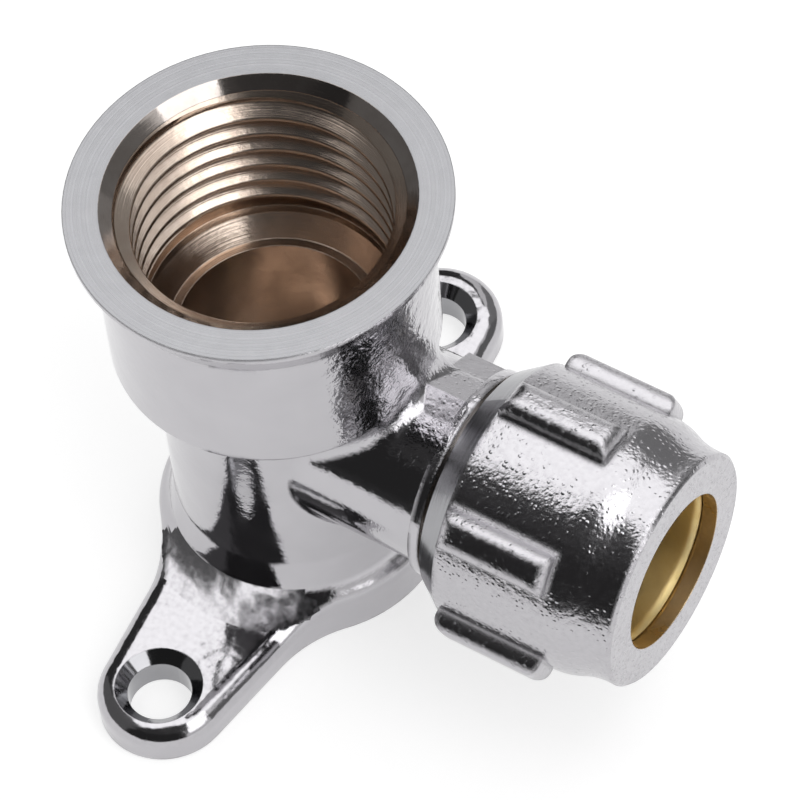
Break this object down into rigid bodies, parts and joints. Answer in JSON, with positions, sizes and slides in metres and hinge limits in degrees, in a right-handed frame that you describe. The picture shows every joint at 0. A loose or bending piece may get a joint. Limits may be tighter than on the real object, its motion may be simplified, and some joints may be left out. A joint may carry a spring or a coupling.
{
  "type": "wall plate elbow",
  "caption": "Chromed brass elbow for a wall: an internally screwed socket stands on an eared wall plate, with a ribbed compression nut on the pipe branch at its side.",
  "frame": {"origin": "centre of the wall plate's back face, on the socket's axis", "axes": "+Z along the socket to its mouth, away from the wall; +X along the branch to the nut's face; the ears lie along Y"},
  "size_m": [0.0473, 0.0489, 0.0404],
  "materials": {
    "body": "polished chrome plate over a brass casting",
    "nut": "bright chrome plate with a slightly bumpy cast skin",
    "olive": "bare turned brass"
  },
  "bodies": {
    "elbow": {"elbow_body": "body"},
    "olive": {"olive": "olive"},
    "nut": {"compression_nut": "nut"}
  },
  "joints": [
    {"name": "nut_travel", "type": "slide", "parent": "elbow", "child": "olive", "axis": [1, 0, 0], "range_m": [0, 0.00803]},
    {"name": "nut_turn", "type": "hinge", "parent": "olive", "child": "nut", "pos_m": [0.0253, 0, 0.01774], "axis": [1, 0, 0], "range_deg": [0, 2160]}
  ],
  "couplings": [
    {"joint": "nut_travel", "follows": "nut_turn", "m_per_rad": 0.00021279}
  ]
}
